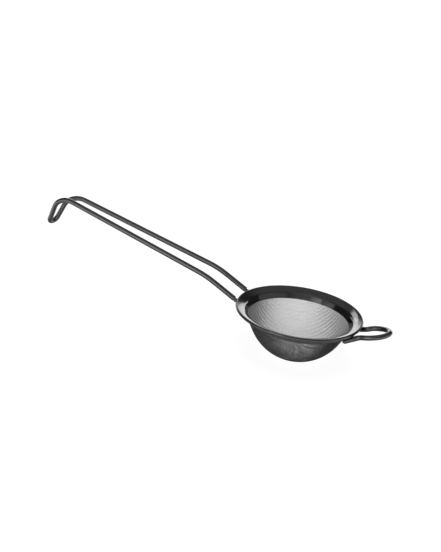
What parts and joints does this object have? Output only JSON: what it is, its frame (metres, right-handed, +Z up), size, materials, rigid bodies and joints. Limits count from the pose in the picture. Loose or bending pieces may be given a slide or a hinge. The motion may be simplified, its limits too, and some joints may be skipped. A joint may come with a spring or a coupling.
{
  "type": "cocktail strainer",
  "caption": "Fine-mesh bar strainer: a woven round cup held in a flanged rim, with a hairpin wire handle that ends in a hook and a wire loop that rests on a glass.",
  "frame": {"origin": "middle of the small flat foot under the cup", "axes": "+X along the handle towards its hook, +Z up along the cup's axis, through the open rim"},
  "size_m": [0.2423, 0.08, 0.0639],
  "materials": {
    "pressed_steel": "polished gunmetal plating",
    "woven_steel": "fine woven wire, gunmetal plating",
    "drawn_wire": "polished gunmetal plating",
    "weld_metal": "dull, plated over"
  },
  "bodies": {
    "root": {"rim_ring": "pressed_steel", "mesh_cup": "woven_steel", "clamp_band": "pressed_steel", "handle_wire": "drawn_wire", "rest_wire": "drawn_wire", "handle_weld_left": "weld_metal", "handle_weld_right": "weld_metal", "rest_weld_left": "weld_metal", "rest_weld_right": "weld_metal"}
  },
  "joints": []
}
